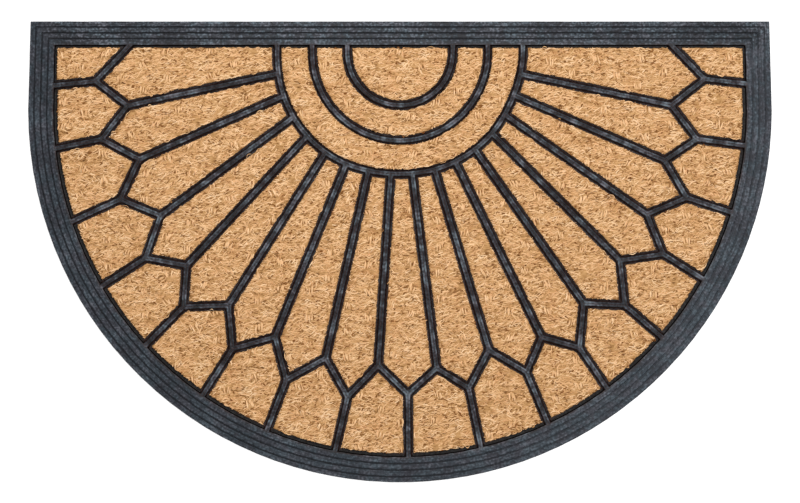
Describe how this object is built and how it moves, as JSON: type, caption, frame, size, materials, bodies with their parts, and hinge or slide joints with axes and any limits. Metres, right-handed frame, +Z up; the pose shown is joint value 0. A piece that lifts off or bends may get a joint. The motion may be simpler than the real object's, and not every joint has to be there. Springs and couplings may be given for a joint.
{
  "type": "doormat",
  "caption": "Half-round doormat: a moulded rubber tray with a stepped rim and a fan of raised ribs, its pockets filled with panels of woven coir.",
  "frame": {"origin": "middle of the mat's bounding box, on the floor under it", "axes": "+X along the straight edge, +Y towards the straight edge (the door side), +Z up"},
  "size_m": [0.75, 0.465, 0.009],
  "materials": {
    "rubber": "moulded black rubber, dull, with a faint blue-grey dust",
    "coir": "coarse woven coir matting, golden brown, rough"
  },
  "bodies": {
    "root": {"rubber_tray": "rubber", "coir_centre": "coir", "coir_band_inner": "coir", "coir_band_outer": "coir", "coir_petal_01": "coir", "coir_petal_02": "coir", "coir_petal_03": "coir", "coir_petal_04": "coir", "coir_petal_05": "coir", "coir_petal_06": "coir", "coir_petal_07": "coir", "coir_petal_08": "coir", "coir_petal_09": "coir", "coir_petal_10": "coir", "coir_petal_11": "coir", "coir_petal_12": "coir", "coir_petal_13": "coir", "coir_petal_14": "coir", "coir_petal_15": "coir", "coir_petal_16": "coir", "coir_petal_17": "coir", "coir_edge_01": "coir", "coir_edge_02": "coir", "coir_edge_03": "coir", "coir_edge_04": "coir", "coir_edge_05": "coir", "coir_edge_06": "coir", "coir_edge_07": "coir", "coir_edge_08": "coir", "coir_edge_09": "coir", "coir_edge_10": "coir", "coir_edge_11": "coir", "coir_edge_12": "coir", "coir_edge_13": "coir", "coir_edge_14": "coir", "coir_edge_15": "coir", "coir_edge_16": "coir", "coir_edge_17": "coir", "coir_edge_18": "coir"}
  },
  "joints": []
}
